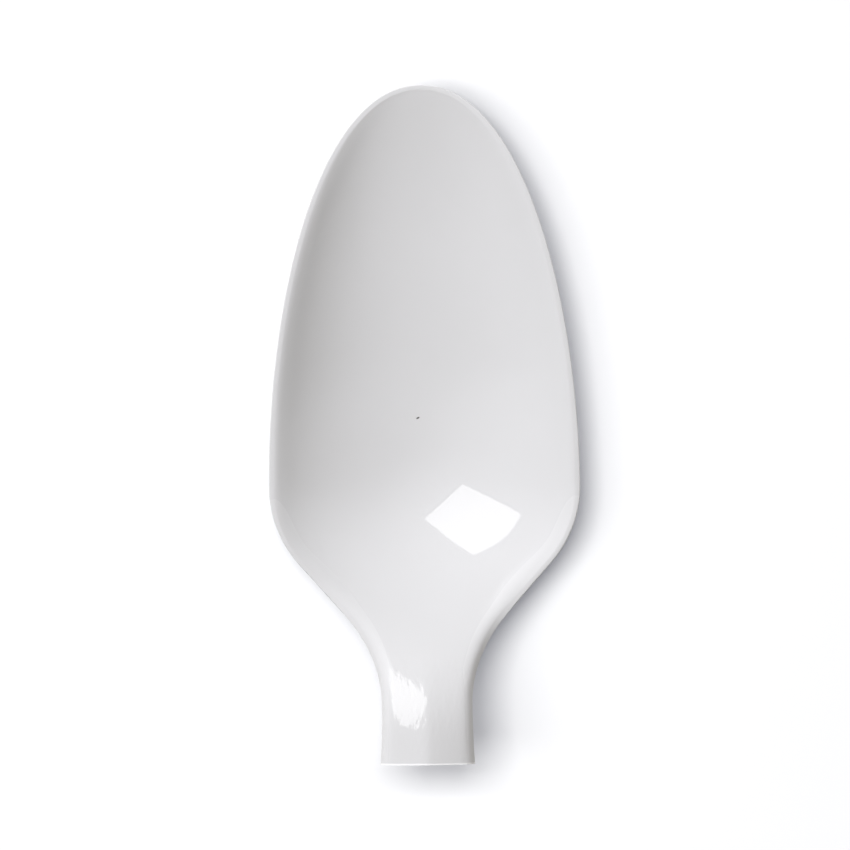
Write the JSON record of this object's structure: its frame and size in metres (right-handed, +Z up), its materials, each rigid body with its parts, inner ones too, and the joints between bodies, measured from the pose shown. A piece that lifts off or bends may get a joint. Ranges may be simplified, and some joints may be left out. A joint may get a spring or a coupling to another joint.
{
  "type": "plastic spoon",
  "caption": "Glossy white moulded plastic spoon with an egg-shaped bowl, a rounded lip and a short arched neck cut off square, for scooping and serving food",
  "frame": {"origin": "on the resting plane, under the middle of the spoon's length and width", "axes": "+Y points to the tip of the bowl and -Y out of the cut end of the neck, +Z is up out of the open bowl, +X is to the right with the tip pointing away"},
  "size_m": [0.032, 0.0698, 0.0138],
  "materials": {
    "moulded_plastic": "high gloss, as moulded"
  },
  "bodies": {
    "root": {"spoon": "moulded_plastic"}
  },
  "joints": []
}
